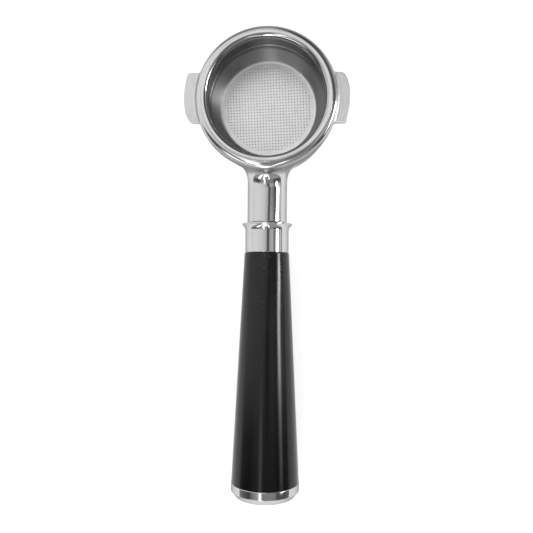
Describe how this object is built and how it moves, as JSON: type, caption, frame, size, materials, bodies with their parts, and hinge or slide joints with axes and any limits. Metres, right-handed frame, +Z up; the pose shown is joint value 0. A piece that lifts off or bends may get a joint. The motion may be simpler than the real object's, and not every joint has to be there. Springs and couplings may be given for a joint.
{
  "type": "portafilter",
  "caption": "Bottomless portafilter with a bayonet head, lift-out perforated filter basket, flared ferrule and long tapered dark grip with a metal end cap.",
  "frame": {"origin": "on the head's axis, in the plane of the basket flange's top face", "axes": "+Z up, out of the basket; the handle runs towards -Y; the two lugs are on +X and -X"},
  "size_m": [0.0828, 0.2376, 0.0356],
  "materials": {
    "head_chrome": "polished plating",
    "basket_steel": "pressed stainless, bright",
    "spring_steel": "drawn wire",
    "ferrule_chrome": "polished plating",
    "grip_black": "semi-gloss, slightly worn",
    "bolt_steel": "zinc plated",
    "washer_steel": "zinc plated",
    "cap_chrome": "polished plating",
    "oring_rubber": "smooth"
  },
  "bodies": {
    "holder": {"head_casting": "head_chrome", "basket_spring": "spring_steel", "ferrule": "ferrule_chrome", "handle_grip": "grip_black", "tie_bolt": "bolt_steel", "bolt_washer": "washer_steel", "spring_washer": "washer_steel", "end_cap": "cap_chrome", "end_cap_oring": "oring_rubber"},
    "basket": {"filter_basket": "basket_steel"}
  },
  "joints": [
    {"name": "basket_lift", "type": "slide", "parent": "holder", "child": "basket", "axis": [0, 0, 1], "range_m": [0, 0.032], "deforming": ["basket_spring"]}
  ]
}
